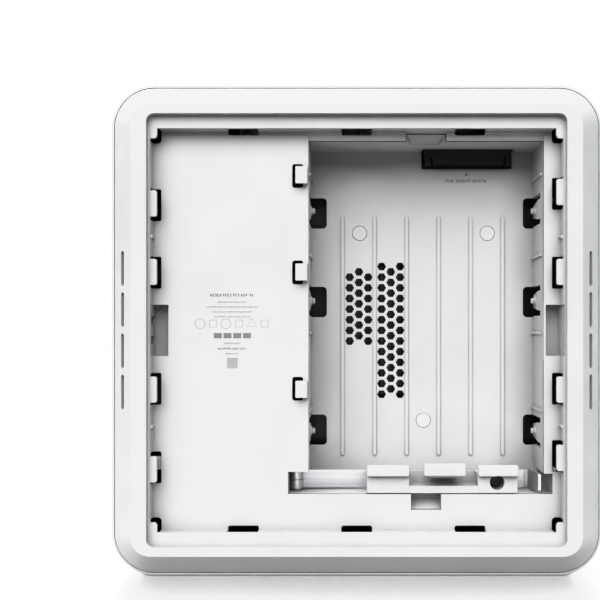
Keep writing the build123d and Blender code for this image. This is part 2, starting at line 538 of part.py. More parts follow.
def make_latch_screw():
    """Captive cross-head screw with a groove for its retaining ring."""
    head = disc(SCREW_U, SCREW_V, SCREW_HEAD_R, SCREW_HEAD_D, SCREW_HEAD_D + SCREW_HEAD_T)
    head = fillet(edges_at(head, SCREW_HEAD_D), 0.7)
    for turn in (0, 90):
        wing = block(-1.35, 1.35, -0.32, 0.32, SCREW_HEAD_D - 1, SCREW_HEAD_D + 1.5)
        wing = wing.rotate(Axis((0, 0, MID_Z), (0, 1, 0)), turn + 45)
        head -= wing.translate((SCREW_U, 0, SCREW_V))
    shank = disc(SCREW_U, SCREW_V, SHANK_R, SCREW_HEAD_D + SCREW_HEAD_T - 0.1, SCREW_TIP_D)
    shank = chamfer(edges_at(shank, SCREW_TIP_D), 0.4)
    screw = head + shank
    groove = disc(SCREW_U, SCREW_V, 2.0, RING_D, RING_D + 0.8) - disc(SCREW_U, SCREW_V, 1.1, 0, THROUGH)
    return screw - groove


def make_screw_ring():
    ring = disc(SCREW_U, SCREW_V, 2.7, RING_D + GAP, RING_D + 0.8 - GAP)
    return ring - disc(SCREW_U, SCREW_V, 1.1 + GAP, 0, THROUGH)


# ---- electronics ----

def make_main_board():
    board = block(BOARD_U0, BOARD_U1, BOARD_V0, BOARD_V1, BOARD_FRONT, BOARD_FRONT + BOARD_T, 4.0)
    board -= block(92.0, 99.0, 88.0, 110.0, 0, THROUGH)
    for u, v in MAIN_SCREWS:
        board -= disc(u, v, BOARD_HOLE_R, 0, THROUGH)
    return board


def make_supply_board():
    board = block(SUPPLY_U0, SUPPLY_U1, SUPPLY_V0, SUPPLY_V1, BOARD_FRONT, BOARD_FRONT + BOARD_T, 2.0)
    for u, v in SUPPLY_SCREWS:
        board -= disc(u, v, BOARD_HOLE_R, 0, THROUGH)
    return board


def make_board_screws():
    screws = []
    for u, v in MAIN_SCREWS + SUPPLY_SCREWS:
        head = disc(u, v, 2.6, BOARD_FRONT - 1.8, BOARD_FRONT)
        head -= block(u - 1.2, u + 1.2, v - 0.3, v + 0.3, BOARD_FRONT - 2, BOARD_FRONT - 0.9)
        screws.append(head + disc(u, v, BOARD_SCREW_R, BOARD_FRONT - 0.5, INNER_BACK - 0.2))
    return join(screws)


def make_bay_screws():
    screws = []
    top = FLANGE + 5.0
    for u, v in BAY_SCREWS:
        head = disc(u, v, 2.1, top, top + 1.6)
        head -= block(u - 1.1, u + 1.1, v - 0.3, v + 0.3, top + 0.8, top + 2)
        screws.append(head + disc(u, v, 1.0, PLATE_D + 1.3, top + 0.2))
    return join(screws)


def make_jack(u):
    """Shielded modular jack with a stepped plug opening towards +Z."""
    v1 = PORT_V
    d1 = BOARD_FRONT
    jack = block(u - JACK_W / 2, u + JACK_W / 2, v1 - JACK_L, v1, d1 - JACK_H, d1)
    jack -= block(u - 5.95, u + 5.95, v1 - 12.0, v1 + 1, d1 - JACK_H + 1.6, d1 - JACK_H + 8.0)
    jack -= block(u - 3.1, u + 3.1, v1 - 12.0, v1 + 1, d1 - JACK_H + 7.5, d1 - JACK_H + 10.2)
    return jack


def make_network_jacks():
    return join([make_jack(u) for u in JACK_US])


def make_jack_contacts():
    pins = []
    d0 = BOARD_FRONT - JACK_H + 1.6
    for u in JACK_US:
        for i in range(8):
            x = u + (i - 3.5) * 1.02
            pins.append(block(x - 0.23, x + 0.23, PORT_V - 11.0, PORT_V - 2.5, d0, d0 + 0.5))
    return join(pins)


def make_video_socket():
    w, h, v1, d1 = VIDEO_W, VIDEO_H, PORT_V, BOARD_FRONT
    body = block(VIDEO_U - w / 2, VIDEO_U + w / 2, v1 - VIDEO_L, v1, d1 - h, d1)
    outline = [(-6.9, d1 - 0.6), (6.9, d1 - 0.6), (6.9, d1 - 3.4), (5.2, d1 - 5.2), (-5.2, d1 - 5.2),
               (-6.9, d1 - 3.4)]
    hole = profile_z([(VIDEO_U + x, d) for x, d in outline], v1 - 9.0, v1 + 1)
    body -= hole
    return body + block(VIDEO_U - 5.2, VIDEO_U + 5.2, v1 - 9.5, v1 - 1.2, d1 - 3.1, d1 - 2.1)


def make_power_inlet():
    """Two-pin inlet with a figure-eight mouth."""
    w, h, v1, d = INLET_W, INLET_H, PORT_V, INLET_D
    body = block(INLET_U - w / 2, INLET_U + w / 2, v1 - INLET_L, v1, d - h / 2, d + h / 2)
    mouth = Plane(origin=(INLET_U, FRONT_Y + d, MID_Z + v1 + 1), z_dir=(0, 0, -1))
    body -= extrude(mouth * SlotOverall(15.6, 8.0), amount=13.0)
    return body


def make_inlet_pins():
    pins = []
    for side in (-1, 1):
        foot = Plane(origin=(INLET_U + side * 4.3, FRONT_Y + INLET_D, MID_Z + PORT_V - 12.0), z_dir=(0, 0, 1))
        pin = extrude(foot * Circle(1.2), amount=9.5)
        pins.append(fillet(pin.edges().sort_by(Axis.Z)[-1], 0.6))
    return join(pins)


def make_reset_button():
    foot = Plane(origin=(RESET_U, FRONT_Y + RESET_D, MID_Z + PORT_V - 6.6), z_dir=(0, 0, 1))
    cap = extrude(foot * Circle(RESET_R), amount=6.6)
    return fillet(cap.edges().sort_by(Axis.Z)[-1], 0.4)


def make_reset_switch():
    v1 = PORT_V - 7.4
    return block(RESET_U - 3, RESET_U + 3, v1 - 5.0, v1, RESET_D - 3, BOARD_FRONT)


def make_light_pipe():
    pipe = block(-LIGHT_W / 2, LIGHT_W / 2, -SIDE / 2 + 0.15, -SIDE / 2 + WALL + 0.6,
                 LIGHT_D - LIGHT_T / 2, LIGHT_D + LIGHT_T / 2)
    pipe += block(-LIGHT_W / 2 - 1.5, LIGHT_W / 2 + 1.5, -SIDE / 2 + WALL, -SIDE / 2 + WALL + 1.4,
                  LIGHT_D - LIGHT_T / 2 - 1, LIGHT_D + LIGHT_T / 2 + 1)
    return pipe


def make_light_board():
    v0 = -SIDE / 2 + WALL + 1.4
    return block(-20, 20, v0, v0 + 1.2, LIGHT_D - 6, LIGHT_D + 8)


def make_chips():
    parts = [block(u - w / 2, u + w / 2, v - h / 2, v + h / 2, BOARD_FRONT - t, BOARD_FRONT)
             for u, v, w, h, t in CHIPS]
    parts.append(block(-2, 18, -10, 10, BOARD_FRONT - 1.8, BOARD_FRONT))
    return join(parts)


def make_heat_sink():
    """Finned plate over the processor, under the hexagonal vents."""
    base = BOARD_FRONT - 1.8
    sink = block(-8, 24, -30, 30, base - 1.6, base)
    for i in range(9):
        u = -7.2 + 3.8 * i
        sink += block(u - 0.5, u + 0.5, -30, 30, base - 5.4, base - 1.0)
    return sink


def make_board_capacitors():
    parts = []
    for u, v in ((-18, 74), (-2, 74), (36, 72), (50, 72), (84, 30), (84, 44)):
        foot = disc(u, v, 3.15, BOARD_FRONT - 7.0, BOARD_FRONT)
        parts.append(fillet(edges_at(foot, BOARD_FRONT - 7.0), 0.4))
    return join(parts)


def make_transformer():
    """Core of two halves round a wound bobbin."""
    u, v, d1 = -79.0, 34.0, BOARD_FRONT
    core = block(u - 13, u + 13, v - 12, v + 12, d1 - 24, d1 - 2.0)
    core -= block(u - 9.5, u + 9.5, v - 13, v + 13, d1 - 19.5, d1 - 6.5)
    return core + block(u - 4, u + 4, v - 12, v + 12, d1 - 20, d1 - 6.0)


def make_transformer_winding():
    u, v, d1 = -79.0, 34.0, BOARD_FRONT
    wound = block(u - 9.2, u + 9.2, v - 14.5, v + 14.5, d1 - 19.2, d1 - 6.8, 3.0)
    wound -= block(u - 4.05, u + 4.05, v - 20, v + 20, d1 - 21, d1 - 5)
    return wound + block(u - 9.2, u + 9.2, v - 17.0, v - 12.2, d1 - 6.8, d1) \
        + block(u - 9.2, u + 9.2, v + 12.2, v + 17.0, d1 - 6.8, d1)


def make_supply_capacitors():
    parts = []
    for u, v, r, tall in ((-88, 66, 7.5, 25), (-70, 66, 7.5, 25), (-90, 10, 4.0, 18), (-78, 9, 4.0, 18),
                          (-66, 10, 4.0, 16)):
        can = disc(u, v, r, BOARD_FRONT - tall, BOARD_FRONT)
        parts.append(fillet(edges_at(can, BOARD_FRONT - tall), 0.8))
    return join(parts)


def make_supply_coil():
    """Line choke: a ring core on edge in a flat carrier."""
    u, v, d1 = -63.0, 52.5, BOARD_FRONT
    ring = Plane(origin=(u, FRONT_Y + d1 - 6.3, MID_Z + v - 2.5), z_dir=(0, 0, 1))
    coil = extrude(ring * Circle(5.4), amount=5.0) - extrude(ring * Circle(2.4), amount=5.0)
    return coil + block(u - 5.4, u + 5.4, v - 3.5, v + 3.5, d1 - 2.0, d1)


def make_insulator():
    """Fish-paper tray between the supply and the housing."""
    d0 = BOARD_FRONT + BOARD_T
    sheet = block(SUPPLY_U0 - 1.5, SUPPLY_U1 + 0.6, SUPPLY_V0 - 2, SUPPLY_V1 + 1.0, d0 + 0.6, d0 + 1.0)
    for u, v in SUPPLY_SCREWS:
        sheet -= disc(u, v, 3.4, 0, THROUGH)
    return sheet


# ---- blower ----

def make_blower_housing():
    """Flat spiral housing with a round intake and a square outlet towards the left side slots."""
    outer = slab(Pos(FAN_U, FAN_V) * Circle(FAN_R), FAN_D0, FAN_D1)
    outer += block(-98.0, FAN_U, FAN_V, FAN_V + FAN_R, FAN_D0, FAN_D1)
    inner = slab(Pos(FAN_U, FAN_V) * Circle(FAN_R - 1.3), FAN_D0 + 1.4, FAN_D1 - 1.2)
    inner += block(-99.0, FAN_U, FAN_V + 1.3, FAN_V + FAN_R - 1.3, FAN_D0 + 1.4, FAN_D1 - 1.2)
    housing = outer - inner
    housing -= disc(FAN_U, FAN_V, 15.0, FAN_D1 - 2, FAN_D1 + 1)
    housing += disc(FAN_U, FAN_V, 2.6, FAN_D0 + 1, FAN_D0 + 8.0)
    housing -= disc(FAN_U, FAN_V, 1.05, FAN_D0 + 2.4, FAN_D0 + 9.0)
    for u, v in FAN_SCREWS:
        ear = disc(u, v, 3.4, FAN_D0, FAN_D0 + 3.0) - disc(FAN_U, FAN_V, FAN_R - 0.6, 0, THROUGH)
        housing += ear - disc(u, v, 1.5, 0, THROUGH)
    return housing


def make_blower_impeller():
    """Cup on a shaft with a ring of forward-curved blades."""
    d0, d1 = FAN_D0 + 2.6, FAN_D1 - 2.4
    hub = disc(FAN_U, FAN_V, 12.0, d0 + 0.6, d1) - disc(FAN_U, FAN_V, 10.8, 0, d1 - 1.2)
    hub += disc(FAN_U, FAN_V, 1.0, FAN_D0 + 2.6, d1 - 0.6)
    rim = disc(FAN_U, FAN_V, 20.5, d0 + 0.6, d0 + 1.6) - disc(FAN_U, FAN_V, 11.5, 0, THROUGH)
    wheel = hub + rim
    blade_count = 23
    for i in range(blade_count):
        blade = block(15.6, 20.4, -0.4, 0.4, d0 + 1.0, d1 - 0.6)
        blade = blade.rotate(Axis((15.6, 0, MID_Z), (0, 1, 0)), 24)
        blade = blade.rotate(Axis((0, 0, MID_Z), (0, 1, 0)), 360 / blade_count * i)
        wheel += blade.translate((FAN_U, 0, FAN_V))
    return wheel


def make_blower_screws():
    screws = []
    for u, v in FAN_SCREWS:
        head = disc(u, v, 2.2, FAN_D0 + 3.0, FAN_D0 + 4.6)
        screws.append(head + disc(u, v, 1.2, PLATE_D + 0.8, FAN_D0 + 3.4))
    return join(screws)


def make_vent_screens():
    """Dark perforated strips behind the side slots."""
    strips = []
    length = SIDE_SLOT_COUNT * SIDE_SLOT_PITCH + 4
    for sign in (-1, 1):
        mid = RIM_HALF + BEVEL / 2
        plane = Plane(origin=(sign * mid, FRONT_Y + BEVEL / 2, MID_Z), x_dir=(0, 0, 1), z_dir=(-sign, 1, 0))
        strips.append(extrude(plane.offset(SKIN) * Rectangle(length, 5.0), amount=0.5))
    return join(strips)


def lead(points, radius, bend):
    """Insulated lead of straight runs and tangent bends."""
    route = FilletPolyline(*[(u, FRONT_Y + d, MID_Z + v) for u, v, d in points], radius=bend)
    start = Plane(origin=route @ 0, z_dir=route % 0)
    return sweep(start * Circle(radius), path=route)


def make_supply_lead():
    ends = [(-59.5, 62.0), (-40.0, 62.0)]
    top = 30.0
    route = [(*ends[0], BOARD_FRONT), (*ends[0], top), (*ends[1], top), (*ends[1], BOARD_FRONT)]
    return lead(route, 1.4, 6.0)


os.makedirs("parts", exist_ok=True)
save(make_top_shell(), "top_shell")
save(make_base_frame(), "base_frame")
save(make_drive_bay(), "drive_bay")
save(make_floor_plugs(), "bay_floor_plugs")
for side, sign in (("left", -1), ("right", 1)):
    for place, v in zip(("upper", "middle", "lower"), PEG_V):
        save(make_peg_tongue(sign, v), f"peg_tongue_{side}_{place}")
save(make_sata_receptacle(), "sata_receptacle")
save(make_sata_contacts(), "sata_contacts")
save(make_drive_board(), "drive_connector_board")
save(make_latch_arm(), "latch_arm")
save(make_latch_pin(), "latch_pin")
save(make_latch_carrier(), "latch_carrier")
save(make_clamp_finger(), "latch_clamp_finger")
save(make_latch_screw(), "latch_screw")
save(make_screw_ring(), "latch_screw_ring")
save(make_main_board(), "main_board")
save(make_supply_board(), "supply_board")
save(make_board_screws(), "board_screws")
save(make_bay_screws(), "bay_screws")
save(make_network_jacks(), "network_jacks")
save(make_jack_contacts(), "network_jack_contacts")
save(make_video_socket(), "video_socket")
save(make_power_inlet(), "power_inlet")
save(make_inlet_pins(), "power_inlet_pins")
save(make_reset_button(), "reset_button")
save(make_reset_switch(), "reset_switch")
save(make_light_pipe(), "status_light_pipe")
save(make_light_board(), "status_light_board")
save(make_chips(), "board_chips")
save(make_heat_sink(), "heat_sink")
save(make_board_capacitors(), "board_capacitors")
save(make_transformer(), "transformer_core")
save(make_transformer_winding(), "transformer_winding")
save(make_supply_capacitors(), "supply_capacitors")
save(make_supply_coil(), "supply_choke")
save(make_insulator(), "supply_insulator")
save(make_blower_housing(), "blower_housing")
save(make_blower_impeller(), "blower_impeller")
save(make_blower_screws(), "blower_screws")
save(make_vent_screens(), "vent_screens")
save(make_supply_lead(), "supply_lead")
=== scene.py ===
import json
import math
import random

import bmesh
import bpy
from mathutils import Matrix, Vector


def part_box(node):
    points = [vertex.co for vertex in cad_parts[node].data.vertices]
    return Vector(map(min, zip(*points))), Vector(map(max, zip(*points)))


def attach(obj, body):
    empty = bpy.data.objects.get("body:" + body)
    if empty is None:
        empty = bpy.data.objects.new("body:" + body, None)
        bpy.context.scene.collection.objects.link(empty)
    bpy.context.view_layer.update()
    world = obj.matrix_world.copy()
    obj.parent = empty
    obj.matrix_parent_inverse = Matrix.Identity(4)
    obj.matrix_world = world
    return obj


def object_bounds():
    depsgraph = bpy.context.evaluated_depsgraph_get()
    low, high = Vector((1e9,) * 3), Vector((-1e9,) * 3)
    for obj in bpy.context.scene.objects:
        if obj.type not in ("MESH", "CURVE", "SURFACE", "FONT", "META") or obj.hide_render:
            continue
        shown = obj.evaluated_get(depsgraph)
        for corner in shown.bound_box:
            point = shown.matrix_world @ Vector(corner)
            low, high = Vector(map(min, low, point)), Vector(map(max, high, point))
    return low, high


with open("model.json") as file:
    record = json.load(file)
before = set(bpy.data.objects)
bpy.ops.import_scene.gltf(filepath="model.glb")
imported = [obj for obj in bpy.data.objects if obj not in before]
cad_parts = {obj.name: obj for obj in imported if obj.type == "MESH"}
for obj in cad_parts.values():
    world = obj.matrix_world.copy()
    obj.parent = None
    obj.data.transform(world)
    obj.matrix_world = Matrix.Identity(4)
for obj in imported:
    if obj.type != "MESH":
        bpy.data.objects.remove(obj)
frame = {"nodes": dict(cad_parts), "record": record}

MM = 0.001
CAD_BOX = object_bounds()
NODES = frame["nodes"]
BODY = "enclosure"


# ---- places, worked out from the frame ----

def span(node):
    low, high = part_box(node)
    return Vector(low), Vector(high)


CAD_LOW, CAD_HIGH = Vector(CAD_BOX[0]), Vector(CAD_BOX[1])
MID_Z = (CAD_LOW.z + CAD_HIGH.z) / 2
MID_X = (CAD_LOW.x + CAD_HIGH.x) / 2
HALF = (CAD_HIGH.x - CAD_LOW.x) / 2
RIM_Y = span("base_frame")[0].y
PLATE_Y = RIM_Y + 9 * MM
FLOOR_Y = span("bay_floor_plugs")[0].y


# ---- camera ----

LENS_MM, SENSOR_MM = 55.3, 36.0
RIM_DISTANCE = 398 * MM
SHIFT_X, SHIFT_Y = -0.0945, 0.0507


def make_camera():
    data = bpy.data.cameras.new("camera")
    data.lens = LENS_MM
    data.sensor_width = SENSOR_MM
    data.shift_x = SHIFT_X
    data.shift_y = SHIFT_Y
    data.clip_start = 0.01
    data.clip_end = 50.0
    camera = bpy.data.objects.new("camera", data)
    camera.location = (MID_X, RIM_Y - RIM_DISTANCE, MID_Z)
    camera.rotation_euler = (math.radians(90), 0, 0)
    bpy.context.scene.collection.objects.link(camera)
    bpy.context.scene.camera = camera


# ---- material building blocks ----

class Nodes:
    """Small helper that adds shader nodes to one material."""

    def __init__(self, name):
        self.material = bpy.data.materials.new(name)
        self.material.use_nodes = True
        self.tree = self.material.node_tree
        self.shader = self.tree.nodes["Principled BSDF"]
        self.coords = self.add("ShaderNodeTexCoord").outputs["Object"]

    def add(self, kind, **settings):
        node = self.tree.nodes.new(kind)
        for key, value in settings.items():
            setattr(node, key, value)
        return node

    def link(self, source, target):
        self.tree.links.new(source, target)

    def stretched(self, scale):
        mapping = self.add("ShaderNodeMapping")
        mapping.inputs["Scale"].default_value = scale
        self.link(self.coords, mapping.inputs["Vector"])
        return mapping.outputs["Vector"]

    def noise(self, scale, detail=3.0, rough=0.5, coords=None):
        node = self.add("ShaderNodeTexNoise")
        node.inputs["Scale"].default_value = scale
        node.inputs["Detail"].default_value = detail
        node.inputs["Roughness"].default_value = rough
        self.link(coords or self.coords, node.inputs["Vector"])
        return node.outputs["Fac"]

    def ramp(self, source, low, high, stops=(0.35, 0.65)):
        node = self.add("ShaderNodeValToRGB")
        for element, place, colour in zip(node.color_ramp.elements, stops, (low, high)):
            element.position = place
            element.color = (*colour, 1.0)
        self.link(source, node.inputs["Fac"])
        return node.outputs["Color"]

    def spread(self, source, low, high, start=0.3, stop=0.7):
        node = self.add("ShaderNodeMapRange")
        node.inputs["From Min"].default_value = start
        node.inputs["From Max"].default_value = stop
        node.inputs["To Min"].default_value = low
        node.inputs["To Max"].default_value = high
        self.link(source, node.inputs["Value"])
        return node.outputs["Result"]

    def worn_edge(self, radius):
        """Normal that turns softly over sharp edges."""
        node = self.add("ShaderNodeBevel", samples=4)
        node.inputs["Radius"].default_value = radius
        return node.outputs["Normal"]

    def painted_hollow_shade(self, tint, depth, darkest, alone):
        """Painted shade: tint darkened in corners and pockets by ambient occlusion, to deepen the studio
        shading.
        """
        near = self.add("ShaderNodeAmbientOcclusion", samples=8, only_local=alone)
        near.inputs["Distance"].default_value = depth
        shadow = self.add("ShaderNodeMix", data_type="RGBA", blend_type="MULTIPLY")
        shadow.inputs["Factor"].default_value = 1.0
        self.link(tint, shadow.inputs[6])
        self.link(self.spread(near.outputs["AO"], darkest, 1.0, start=0.35, stop=0.88), shadow.inputs[7])
        return shadow.outputs[2]

    def axis(self, name):
        parts = self.add("ShaderNodeSeparateXYZ")
        self.link(self.coords, parts.inputs[0])
        return parts.outputs[name]

    def math(self, operation, first, second=0.0):
        node = self.add("ShaderNodeMath", operation=operation)
        for value, target in ((first, node.inputs[0]), (second, node.inputs[1])):
            if isinstance(value, (int, float)):
                target.default_value = value
            else:
                self.link(value, target)
        return node.outputs[0]

    def blend(self, factor, low, high):
        node = self.add("ShaderNodeMix", data_type="RGBA")
        self.link(factor, node.inputs["Factor"])
        self.link(low, node.inputs[6])
        self.link(high, node.inputs[7])
        return node.outputs[2]

    def bump(self, source, distance, strength=1.0, under=None):
        node = self.add("ShaderNodeBump")
        node.inputs["Distance"].default_value = distance
        node.inputs["Strength"].default_value = strength
        self.link(source, node.inputs["Height"])
        if under is not None:
            self.link(under, node.inputs["Normal"])
        return node.outputs["Normal"]

    def colour(self, output):
        self.link(output, self.shader.inputs["Base Color"])

    def rough(self, output):
        self.link(output, self.shader.inputs["Roughness"])

    def normal(self, output):
        self.link(output, self.shader.inputs["Normal"])

    def set(self, **values):
        for key, value in values.items():
            self.shader.inputs[key.replace("_", " ")].default_value = value


def shade(colour, factor):
    return tuple(min(1.0, c * factor) for c in colour)


def moulded(name, colour, rough=0.42, grain=2600.0, depth=0.012, mottle=0.03, specular=0.45, inside=None,
             pocket_shade=None, alone=False):
    """Moulded plastic: spark-eroded grain, faint flow mottling and uneven gloss, optionally with painted
    shade in corners and pockets and with inner faces painted near-black as shade.

    inside is a function that gives a mask for the surfaces painted near-black, a painted shade standing in
    for the dark inside of the enclosure.
    The argument after inside is the tint's factor of painted shade in the deepest corners, and alone keeps
    other pieces out of that."""
    m = Nodes(name)
    flow = m.noise(34.0, detail=4.0)
    tint = m.ramp(flow, shade(colour, 1 - mottle), shade(colour, 1 + mottle / 3))
    # painted shade: the tint is darkened by ambient occlusion in corners and pockets
    if pocket_shade is not None:
        tint = m.painted_hollow_shade(tint, PAINTED_SHADE_REACH, pocket_shade, alone)
    # painted shade: inner faces are painted near-black to stand in for the dark inside
    if inside is not None:
        painted_dark_inside = m.ramp(flow, (0.006, 0.006, 0.006), (0.010, 0.010, 0.011))
        tint = m.blend(inside(m), tint, painted_dark_inside)
    m.colour(tint)
    m.rough(m.spread(m.noise(150.0, detail=5.0), rough - 0.05, rough + 0.07))
    fine = m.bump(m.noise(grain, detail=2.0), depth * MM, under=m.worn_edge(EDGE_SOFT))
    m.normal(m.bump(m.noise(grain / 9), depth * 0.6 * MM, under=fine))
    m.set(Specular_IOR_Level=specular, IOR=1.49)
    return m.material


def brushed(name, colour, rough=0.3, along=(12.0, 900.0, 900.0), streak=0.10):
    """Rolled or drawn metal: long fine streaks in colour, gloss and relief."""
    m = Nodes(name)
    lines = m.noise(1.0, detail=5.0, rough=0.65, coords=m.stretched(along))
    stain = m.noise(90.0, detail=4.0)
    m.colour(m.ramp(lines, shade(colour, 1 - streak), shade(colour, 1 + streak / 2)))
    m.rough(m.spread(stain, rough - 0.06, rough + 0.12))
    m.normal(m.bump(lines, 0.006 * MM))
    m.set(Metallic=1.0)
    return m.material


def plated(name, colour, rough=0.22):
    """Small plated metal parts: fine tumbling marks and slight tarnish."""
    m = Nodes(name)
    m.colour(m.ramp(m.noise(420.0, detail=4.0), shade(colour, 0.86), shade(colour, 1.05)))
    m.rough(m.spread(m.noise(900.0), rough - 0.06, rough + 0.14))
    m.normal(m.bump(m.noise(2200.0), 0.006 * MM))
    m.set(Metallic=1.0)
    return m.material


def circuit(name, mask, copper, pitch=1.27):
    """Circuit board: solder mask over faint tracks and a fine weave."""
    m = Nodes(name)
    tracks = m.add("ShaderNodeTexBrick")
    tracks.inputs["Scale"].default_value = 1.0 / (pitch * 14 * MM)
    tracks.inputs["Mortar Size"].default_value = 0.03
    tracks.inputs["Color1"].default_value = (*mask, 1)
    tracks.inputs["Color2"].default_value = (*shade(mask, 1.25), 1)
    tracks.inputs["Mortar"].default_value = (*copper, 1)
    turned = m.add("ShaderNodeMapping")
    turned.inputs["Rotation"].default_value = (math.radians(90), 0, 0)
    m.link(m.coords, turned.inputs["Vector"])
    m.link(turned.outputs["Vector"], tracks.inputs["Vector"])
    m.colour(tracks.outputs["Color"])
    m.rough(m.spread(m.noise(500.0), 0.28, 0.42))
    m.normal(m.bump(m.noise(3000.0), 0.010 * MM))
    return m.material


def wound(name, colour, pitch=0.6):
    """Wound tape or wire: close parallel turns."""
    m = Nodes(name)
    turns = m.add("ShaderNodeTexWave", wave_type="BANDS", bands_direction="Y")
    turns.inputs["Scale"].default_value = 1.0 / (pitch * MM) / 6.0
    turns.inputs["Distortion"].default_value = 0.6
    m.link(m.coords, turns.inputs["Vector"])
    m.colour(m.ramp(turns.outputs["Fac"], shade(colour, 0.6), colour, stops=(0.1, 0.6)))
    m.rough(m.spread(m.noise(600.0), 0.25, 0.45))
    m.normal(m.bump(turns.outputs["Fac"], 0.05 * MM))
    return m.material


def mesh_cloth(name, colour, pitch=1.1):
    """Perforated dark screen."""
    m = Nodes(name)
    cells = m.add("ShaderNodeTexVoronoi", distance="CHEBYCHEV")
    cells.inputs["Scale"].default_value = 1.0 / (pitch * MM)
    cells.inputs["Randomness"].default_value = 0.0
    m.link(m.coords, cells.inputs["Vector"])
    m.colour(m.ramp(cells.outputs["Distance"], shade(colour, 0.3), shade(colour, 1.6)))
    m.rough(m.spread(m.noise(700.0), 0.45, 0.7))
    m.normal(m.bump(cells.outputs["Distance"], 0.10 * MM))
    return m.material


EDGE_SOFT = 0.22 * MM
# reach of the painted corner shade
PAINTED_SHADE_REACH = 24 * MM
CORNER_R = 19.2 * MM


def within_shell(m):
    """Mask of the shell's inner faces, painted near-black as painted shade: inside a rounded square and
    below the closed top.
    """
    square = []
    for axis, middle in (("X", MID_X), ("Z", MID_Z)):
        across = m.math("ABSOLUTE", m.math("SUBTRACT", m.axis(axis), middle))
        past = m.math("MAXIMUM", m.math("SUBTRACT", across, HALF - CORNER_R), 0.0)
        square.append(m.math("MULTIPLY", past, past))
    reach = m.math("SQRT", m.math("ADD", *square))
    sides = m.math("LESS_THAN", reach, CORNER_R - 2.4 * MM)
    depth = m.math("LESS_THAN", m.axis("Y"), CAD_HIGH.y - 2.4 * MM)
    return m.math("MULTIPLY", sides, depth)


def behind_plate(m):
    """Mask of the base frame's faces behind its floor plate, away from the finger recesses, painted
    near-black as painted shade.
    """
    behind = m.math("GREATER_THAN", m.axis("Y"), PLATE_Y + 1.2 * MM)
    height = m.math("ABSOLUTE", m.math("SUBTRACT", m.axis("Z"), MID_Z))
    return m.math("MULTIPLY", behind, m.math("GREATER_THAN", height, 13 * MM))


def below_bay(m):
    """Mask of the faces of the drive bay behind its floor, painted near-black as painted shade."""
    return m.math("GREATER_THAN", m.axis("Y"), FLOOR_Y + 1.2 * MM)


WHITE_SHELL = (0.76, 0.76, 0.765)
WHITE_BASE = (0.75, 0.755, 0.76)
# painted shade: the bay's white is a darker copy of the base white, standing in for the shade in the deep
# bay
WHITE_BAY_SHADED = (0.71, 0.715, 0.72)


def make_materials():
    return {
        "shell_white": moulded("shell_white", WHITE_SHELL, rough=0.40, depth=0.008, mottle=0.008,
                               inside=within_shell),
        "base_white": moulded("base_white", WHITE_BASE, rough=0.48, pocket_shade=0.60),
        "base_frame_white": moulded("base_frame_white", WHITE_BASE, rough=0.48, inside=behind_plate,
                                    pocket_shade=0.62, alone=True),
        "drive_bay_white": moulded("drive_bay_white", WHITE_BAY_SHADED, rough=0.48, inside=below_bay,
                                   pocket_shade=0.62, alone=True),
        "black_plastic": moulded("black_plastic", (0.009, 0.009, 0.010), rough=0.5, mottle=0.2,
                                 specular=0.2),
        "gold": plated("gold", (0.90, 0.66, 0.26)),
        "circuit_board": circuit("circuit_board", (0.004, 0.006, 0.005), (0.007, 0.010, 0.008)),
        "supply_board": circuit("supply_board", (0.42, 0.30, 0.14), (0.30, 0.20, 0.10), pitch=2.54),
        "steel": brushed("steel", (0.50, 0.50, 0.51), rough=0.45),
        "dark_steel": plated("dark_steel", (0.035, 0.035, 0.04), rough=0.32),
        "jack_shield": brushed("jack_shield", (0.70, 0.70, 0.71), rough=0.26),
        "light_pipe": moulded("light_pipe", (0.82, 0.86, 0.92), rough=0.25, depth=0.004),
        "chip_black": moulded("chip_black", (0.022, 0.022, 0.024), rough=0.5, mottle=0.15),
        "heat_sink": brushed("heat_sink", (0.06, 0.06, 0.065), rough=0.4, along=(900.0, 900.0, 14.0)),
        "capacitor": brushed("capacitor", (0.74, 0.74, 0.76), rough=0.25),
        "capacitor_black": moulded("capacitor_black", (0.03, 0.03, 0.05), rough=0.25, mottle=0.1),
        "ferrite": moulded("ferrite", (0.05, 0.05, 0.055), rough=0.55, mottle=0.25),
        "winding_tape": wound("winding_tape", (0.80, 0.58, 0.06)),
        "insulator": moulded("insulator", (0.72, 0.71, 0.64), rough=0.5, mottle=0.06),
        "screen_black": mesh_cloth("screen_black", (0.02, 0.02, 0.02)),
        "lead_black": wound("lead_black", (0.03, 0.03, 0.03), pitch=0.9),
        "ink_grey": moulded("ink_grey", (0.30, 0.30, 0.31), rough=0.55, mottle=0.12, depth=0.002),
        "ink_pale": moulded("ink_pale", (0.52, 0.52, 0.53), rough=0.55, mottle=0.10, depth=0.002),
    }


def dress_nodes(materials):
    """Gives every CAD node the finish of its slot."""
    for entry in frame["record"]["subparts"]:
        node = NODES[entry["node"]]
        node.data.materials.clear()
        own = entry["node"] + "_white"
        node.data.materials.append(materials.get(own) or materials[entry["material_slot"]])


# ---- mesh helpers ----

def new_piece(name, mesh, material, body=BODY):
    piece = bpy.data.objects.new(name, mesh)
    bpy.context.scene.collection.objects.link(piece)
    mesh.materials.append(material)
    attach(piece, body)
    return piece


def add_prism(bm, outline, y0, y1):
    """Closed prism from an outline in x and z, between two depths."""
    near = [bm.verts.new((x, y0, z)) for x, z in outline]
    far = [bm.verts.new((x, y1, z)) for x, z in outline]
    count = len(outline)
    bm.faces.new(near)
    bm.faces.new(list(reversed(far)))
    for i in range(count):
        j = (i + 1) % count
        bm.faces.new((near[j], near[i], far[i], far[j]))


def finish_mesh(name, bm):
    bmesh.ops.recalc_face_normals(bm, faces=bm.faces[:])
    mesh = bpy.data.meshes.new(name)
    bm.to_mesh(mesh)
    bm.free()
    return mesh


